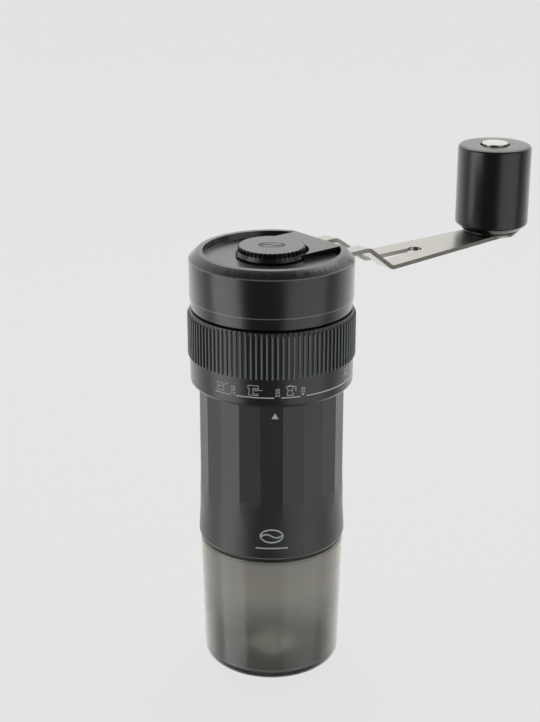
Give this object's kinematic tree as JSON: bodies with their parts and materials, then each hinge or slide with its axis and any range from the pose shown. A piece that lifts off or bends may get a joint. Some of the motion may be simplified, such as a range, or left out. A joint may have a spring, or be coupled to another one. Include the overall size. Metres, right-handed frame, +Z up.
{
  "type": "hand crank coffee grinder",
  "caption": "Slim upright hand grinder: crank head and knob on a threaded shaft, ribbed grind-size ring, faceted bean housing over conical burrs, smoked grounds cup.",
  "frame": {"origin": "grinding axis at the flat underside of the grounds cup", "axes": "+Z up along the grinding axis; the index mark on the sleeve faces -Y; the crank arm at rest points 39.5 degrees from +X towards +Y"},
  "size_m": [0.1344, 0.1188, 0.186],
  "materials": {
    "smoked_cup": "frosted smoked tritan",
    "body_abs": "satin moulded",
    "liner_steel": "drawn",
    "neck_abs": "satin moulded",
    "spring_steel": "drawn wire and strip",
    "frame_nylon": "glass-filled nylon",
    "burr_steel": "ground and hardened",
    "screw_steel": "zinc plated",
    "bush_bronze": "sintered bronze",
    "seal_rubber": "moulded silicone",
    "ring_abs": "satin moulded, ribbed",
    "insert_brass": "turned",
    "carrier_zinc": "die cast zinc",
    "bearing_steel": "ground",
    "shield_steel": "pressed",
    "clip_steel": "phosphated spring steel",
    "shaft_steel": "ground stainless",
    "cap_abs": "satin moulded",
    "arm_steel": "brushed stainless strip",
    "rivet_steel": "headed",
    "pin_steel": "turned and faced",
    "nut_abs": "satin moulded",
    "knob_abs": "polished moulded",
    "bush_nylon": "natural nylon",
    "collar_abs": "satin moulded"
  },
  "bodies": {
    "grounds_cup": {"grounds_cup": "smoked_cup"},
    "housing": {"body_sleeve": "body_abs", "hopper_liner": "liner_steel", "neck_collar": "neck_abs", "detent_leaf": "spring_steel", "burr_frame": "frame_nylon", "outer_burr": "burr_steel", "bean_funnel": "frame_nylon", "burr_screws": "screw_steel", "lower_bush": "bush_bronze", "cup_seal": "seal_rubber", "preload_washers": "spring_steel"},
    "adjust_ring": {"adjust_ring": "ring_abs", "ring_insert": "insert_brass"},
    "lift_carrier": {"lift_carrier": "carrier_zinc", "bearing_outer": "bearing_steel", "bearing_balls": "bearing_steel", "bearing_shields": "shield_steel", "bearing_circlip": "clip_steel"},
    "drive_shaft": {"drive_shaft": "shaft_steel", "bearing_inner": "bearing_steel", "shaft_clips": "clip_steel", "burr_key": "shaft_steel", "inner_burr": "burr_steel"},
    "crank_head": {"cap_shell": "cap_abs", "crank_arm": "arm_steel", "drive_hub": "carrier_zinc", "arm_rivets": "rivet_steel", "cap_screws": "screw_steel", "knob_pin": "pin_steel"},
    "thumb_nut": {"thumb_nut": "nut_abs", "nut_clip": "clip_steel"},
    "crank_knob": {"crank_knob": "knob_abs", "knob_bushes": "bush_nylon", "knob_collar": "collar_abs"}
  },
  "joints": [
    {"name": "housing_lift", "type": "slide", "parent": "grounds_cup", "child": "housing", "axis": [0, 0, 1], "range_m": [0, 0.025]},
    {"name": "ring_turn", "type": "hinge", "parent": "housing", "child": "adjust_ring", "pos_m": [0, 0, 0.127], "axis": [0, 0, 1], "range_deg": [-70, 70]},
    {"name": "carrier_lift", "type": "slide", "parent": "housing", "child": "lift_carrier", "axis": [0, 0, 1], "range_m": [-0.00045, 0.00045], "deforming": ["preload_washers"]},
    {"name": "crank_spin", "type": "hinge", "parent": "lift_carrier", "child": "drive_shaft", "pos_m": [0, 0, 0.13], "axis": [0, 0, 1], "continuous": true},
    {"name": "crank_head_lift", "type": "slide", "parent": "drive_shaft", "child": "crank_head", "axis": [0, 0, 1], "range_m": [0, 0.014]},
    {"name": "thumb_nut_turn", "type": "hinge", "parent": "crank_head", "child": "thumb_nut", "pos_m": [0, 0, 0.162], "axis": [0, 0, 1], "continuous": true},
    {"name": "knob_spin", "type": "hinge", "parent": "crank_head", "child": "crank_knob", "pos_m": [0.08912, 0.07347, 0.168], "axis": [0, 0, 1], "continuous": true}
  ],
  "couplings": [
    {"joint": "carrier_lift", "follows": "ring_turn", "m_per_rad": 0.00036606}
  ]
}
